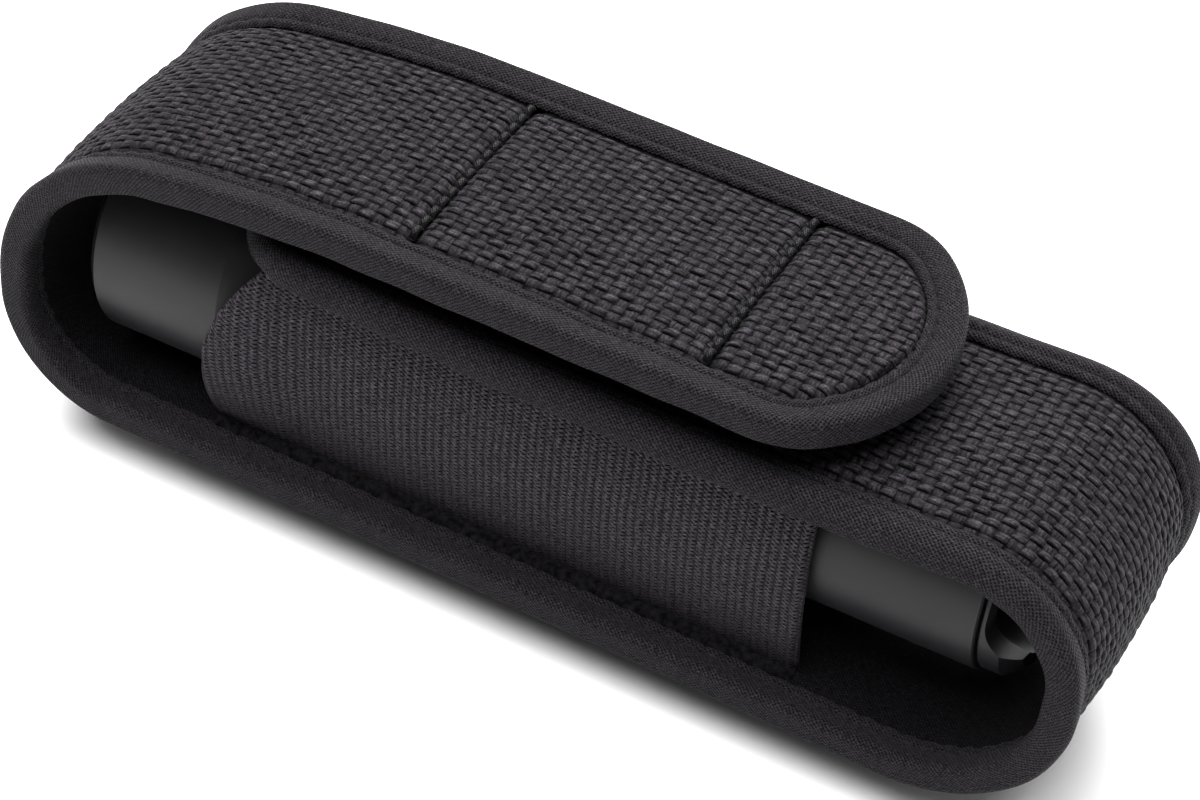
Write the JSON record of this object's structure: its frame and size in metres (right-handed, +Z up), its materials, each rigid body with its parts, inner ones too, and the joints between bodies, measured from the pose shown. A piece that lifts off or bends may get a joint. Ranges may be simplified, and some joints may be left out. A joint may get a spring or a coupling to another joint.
{
  "type": "tactical flashlight in a belt holster",
  "caption": "Black woven-nylon belt holster with a folding touch-closed flap, elastic sides and a belt loop, holding a tube-shaped tactical flashlight with a tail button.",
  "frame": {"origin": "on the surface that the belt loop rests on, under the middle of the holster's box", "axes": "+X along the holster from the flap's bend to the closed end, +Y across it, +Z up from the back to the flap"},
  "size_m": [0.14, 0.038, 0.0522],
  "materials": {
    "woven_nylon": "coarse basket weave, black",
    "foam_core": "closed-cell foam",
    "lining_cloth": "fine plain weave, black",
    "binding_tape": "ribbed twill tape, black",
    "hook_tape": "hook side of a touch closure",
    "loop_tape": "napped loop side of a touch closure",
    "elastic": "ribbed elastic, black",
    "webbing": "plain webbing, black",
    "anodised_aluminium": "matte hard anodised, dark grey",
    "bezel_steel": "matte dark coating",
    "lens_glass": "clear, coated",
    "seal_rubber": "black",
    "reflector_metal": "bright, lightly textured",
    "board": "white solder mask",
    "driver_green": "green solder mask",
    "emitter": "yellow phosphor",
    "contact_brass": "bright",
    "cell_wrap": "shrink wrap",
    "spring_steel": "bright",
    "switch_plastic": "black",
    "plunger_plastic": "natural",
    "boot_rubber": "soft black rubber"
  },
  "bodies": {
    "holster": {"shell_outer": "woven_nylon", "shell_stiffener": "foam_core", "shell_lining": "lining_cloth", "shell_binding": "binding_tape", "loop_patch": "loop_tape", "elastic_near": "elastic", "elastic_far": "elastic", "belt_loop": "webbing"},
    "end_wall": {"end_outer": "woven_nylon", "end_stiffener": "foam_core", "end_lining": "lining_cloth", "end_binding": "binding_tape"},
    "flap": {"flap_outer": "woven_nylon", "flap_stiffener": "foam_core", "flap_lining": "lining_cloth", "flap_binding": "binding_tape", "hook_patch": "hook_tape"},
    "torch_body": {"body_tube": "anodised_aluminium", "battery_cell": "cell_wrap", "head_o_ring": "seal_rubber"},
    "head": {"bezel_ring": "bezel_steel", "front_lens": "lens_glass", "lens_gasket": "seal_rubber", "reflector": "reflector_metal", "led_board": "board", "led_emitter": "emitter", "head_shell": "anodised_aluminium", "driver_board": "driver_green", "driver_contact": "contact_brass"},
    "tail": {"tail_cap": "anodised_aluminium", "tail_o_ring": "seal_rubber", "tail_spring": "spring_steel", "switch_module": "switch_plastic", "switch_retainer": "contact_brass"},
    "button": {"switch_boot": "boot_rubber", "switch_plunger": "plunger_plastic"}
  },
  "joints": [
    {"name": "end_fold", "type": "hinge", "parent": "holster", "child": "end_wall", "pos_m": [-0.06564, 0, 0.01046], "axis": [0, -1, 0], "range_deg": [0, 90]},
    {"name": "flap_fold", "type": "hinge", "parent": "end_wall", "child": "flap", "pos_m": [-0.06375, 0, 0.04034], "axis": [0, -1, 0], "range_deg": [0, 90]},
    {"name": "torch_slide", "type": "slide", "parent": "holster", "child": "torch_body", "axis": [0.9998, 0, 0.0192], "range_m": [0, 0.001]},
    {"name": "head_twist", "type": "hinge", "parent": "torch_body", "child": "head", "pos_m": [-0.02781, 0, 0.02571], "axis": [-0.9998, 0, -0.0192], "range_deg": [0, 45]},
    {"name": "tail_cap_twist", "type": "hinge", "parent": "torch_body", "child": "tail", "pos_m": [0.05618, 0, 0.02733], "axis": [0.9998, 0, 0.0192], "range_deg": [0, 90]},
    {"name": "switch_press", "type": "slide", "parent": "tail", "child": "button", "axis": [-0.9998, 0, -0.0192], "range_m": [0, 0.0016], "stiffness_N_per_m": 2500}
  ]
}
